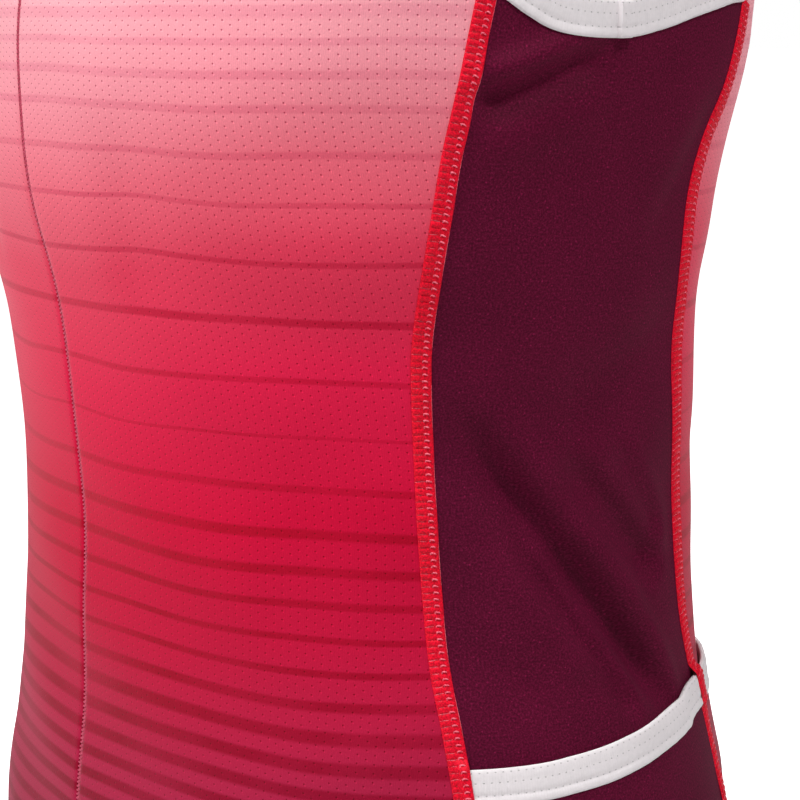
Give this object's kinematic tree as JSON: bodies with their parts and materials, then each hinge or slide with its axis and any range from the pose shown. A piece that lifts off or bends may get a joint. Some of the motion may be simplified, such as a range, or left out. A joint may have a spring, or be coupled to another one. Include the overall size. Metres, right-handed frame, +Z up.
{
  "type": "sleeveless cycling jersey",
  "caption": "Sleeveless cycling jersey as worn, full centre zip, contrast side panels, elastic-bound armholes and neck, open side and back pockets.",
  "frame": {"origin": "midway between the two shoulder straps, where they bear on the wearer's shoulders", "axes": "+Z up, -Y to the wearer's front, +X to the wearer's left"},
  "size_m": [0.3596, 0.253, 0.6219],
  "materials": {
    "knit_print": "micro-perforated knit, dyed from pink to plum with stripes",
    "side_tricot": "smooth stretch tricot with a slight sheen",
    "white_elastic": "folded elastic",
    "zip_tape": "woven tape with a nylon coil",
    "zip_metal": "satin enamel"
  },
  "bodies": {
    "garment": {"front_left": "knit_print", "front_right": "knit_print", "back": "knit_print", "pocket_back": "knit_print", "side_left": "side_tricot", "side_right": "side_tricot", "pocket_side_left": "side_tricot", "pocket_side_right": "side_tricot", "binding_armhole_left": "white_elastic", "binding_armhole_right": "white_elastic", "binding_neck": "white_elastic", "binding_pocket_back": "white_elastic", "binding_pocket_side_left": "white_elastic", "binding_pocket_side_right": "white_elastic", "zip_tape": "zip_tape", "zip_slider": "zip_metal"},
    "pull": {"zip_pull": "zip_metal"}
  },
  "joints": [
    {"name": "pull_hinge", "type": "hinge", "parent": "garment", "child": "pull", "pos_m": [0, -0.10006, -0.10908], "axis": [-1, 0, 0], "range_deg": [0, 150]}
  ]
}
